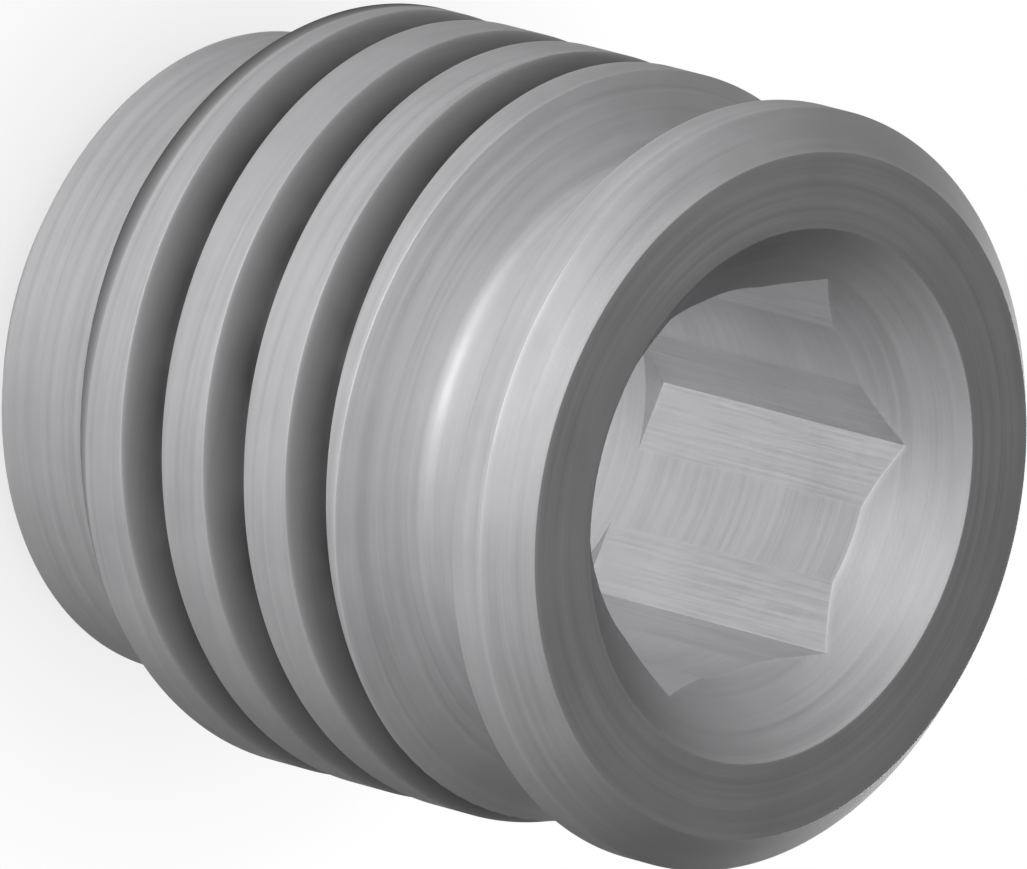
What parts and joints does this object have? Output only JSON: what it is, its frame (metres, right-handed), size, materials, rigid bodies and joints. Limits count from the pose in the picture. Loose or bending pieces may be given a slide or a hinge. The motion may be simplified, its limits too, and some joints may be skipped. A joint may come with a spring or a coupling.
{
  "type": "pipe plug",
  "caption": "Straight-threaded pipe plug with a round head, bare neck, plain pilot and blind hexagon socket, made in one piece of steel.",
  "frame": {"origin": "centre of the lower end of the pilot, on the surface that the plug stands on", "axes": "+Z along the plug's axis towards the head and the socket's mouth, +X through a corner of the hexagon"},
  "size_m": [0.01, 0.01, 0.0105],
  "materials": {
    "turned_steel": "turned steel with fine tool marks, darker in the thread groove"
  },
  "bodies": {
    "root": {"plug": "turned_steel"}
  },
  "joints": []
}
